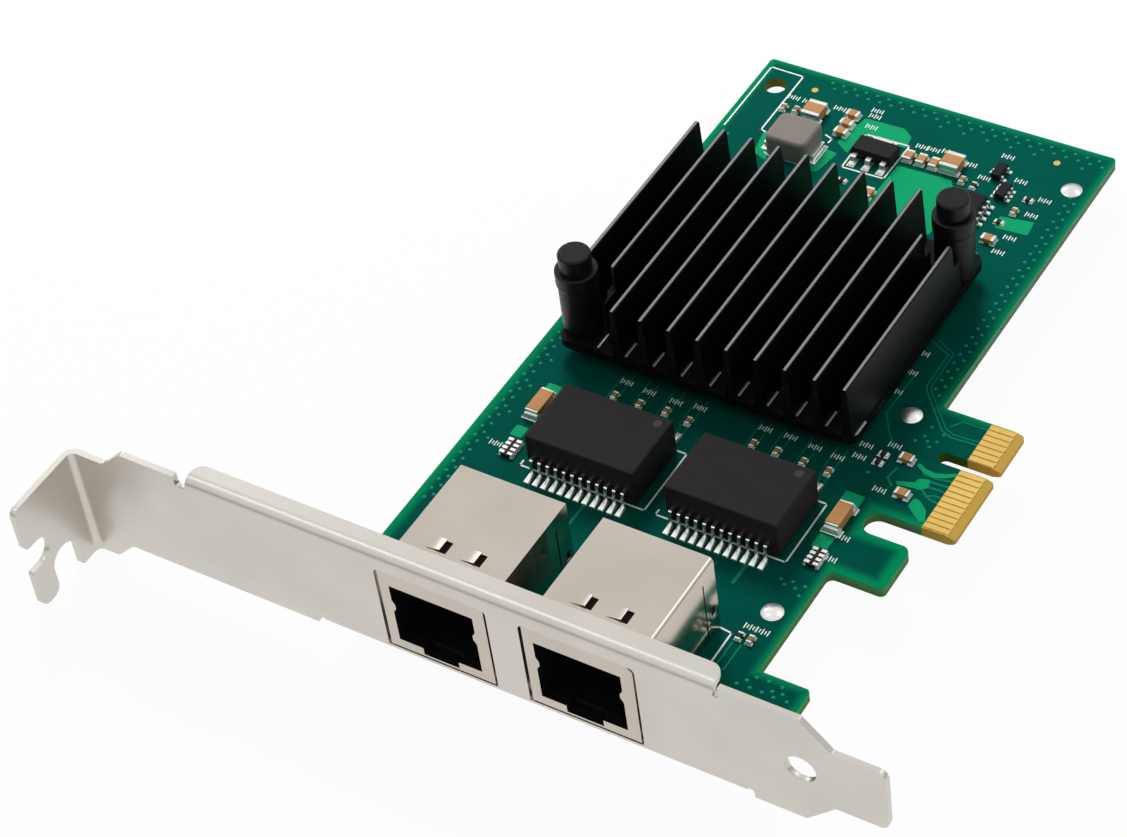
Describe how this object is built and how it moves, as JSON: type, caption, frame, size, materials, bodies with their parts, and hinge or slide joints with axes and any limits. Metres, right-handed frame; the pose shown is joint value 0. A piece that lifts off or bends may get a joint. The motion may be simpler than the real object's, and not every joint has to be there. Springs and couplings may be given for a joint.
{
  "type": "network interface card",
  "caption": "Flat circuit board with edge contacts, socket jacks, transformer modules and a finned heat sink, held by a full height bent steel mounting bracket.",
  "frame": {"origin": "on the centre line of the edge connector's key slot, at the tip of the contacts, on the component side of the board", "axes": "+X out of the edge connector into the slot that takes it, +Y away from the mounting bracket along the board, +Z out of the component side"},
  "size_m": [0.12, 0.1322, 0.0225],
  "materials": {
    "bracket_steel": "satin nickel plated sheet",
    "board_mask": "satin solder mask over glass fibre laminate",
    "contact_gold": "gold plated",
    "screw_steel": "nickel plated",
    "shield_steel": "satin nickel plated thin sheet",
    "socket_plastic": "moulded black",
    "module_plastic": "moulded dark grey",
    "tinned_lead": "tin plated",
    "chip_plastic": "moulded black",
    "pad_rubber": "soft grey pad",
    "sink_aluminium": "black anodised",
    "pin_plastic": "moulded black, soft gloss",
    "inductor_core": "pressed grey powder",
    "capacitor_ceramic": "tan ceramic",
    "resistor_film": "black film",
    "solder": "smooth solder"
  },
  "bodies": {
    "root": {"mounting_bracket": "bracket_steel", "circuit_board": "board_mask", "edge_contacts": "contact_gold", "bracket_screws": "screw_steel", "socket_shield_left": "shield_steel", "socket_shield_right": "shield_steel", "socket_housing_left": "socket_plastic", "socket_housing_right": "socket_plastic", "socket_wires_left": "contact_gold", "socket_wires_right": "contact_gold", "transformer_body_left": "module_plastic", "transformer_body_right": "module_plastic", "transformer_leads_left": "tinned_lead", "transformer_leads_right": "tinned_lead", "controller_chip": "chip_plastic", "thermal_pad": "pad_rubber", "heat_sink": "sink_aluminium", "push_pins": "pin_plastic", "pin_sleeves": "pin_plastic", "inductor_body": "inductor_core", "inductor_terminals": "tinned_lead", "regulator_body": "chip_plastic", "regulator_leads": "tinned_lead", "memory_chip_body": "chip_plastic", "memory_chip_leads": "tinned_lead", "transistor_bodies": "chip_plastic", "transistor_leads": "tinned_lead", "large_capacitor_bodies": "capacitor_ceramic", "large_capacitor_ends": "tinned_lead", "long_capacitor_bodies": "capacitor_ceramic", "long_capacitor_ends": "tinned_lead", "medium_capacitor_bodies": "capacitor_ceramic", "medium_capacitor_ends": "tinned_lead", "small_capacitor_bodies": "capacitor_ceramic", "small_capacitor_ends": "tinned_lead", "resistor_bodies": "resistor_film", "resistor_ends": "tinned_lead", "resistor_array_bodies": "resistor_film", "resistor_array_terminals": "tinned_lead", "solder_domes": "solder"}
  },
  "joints": []
}
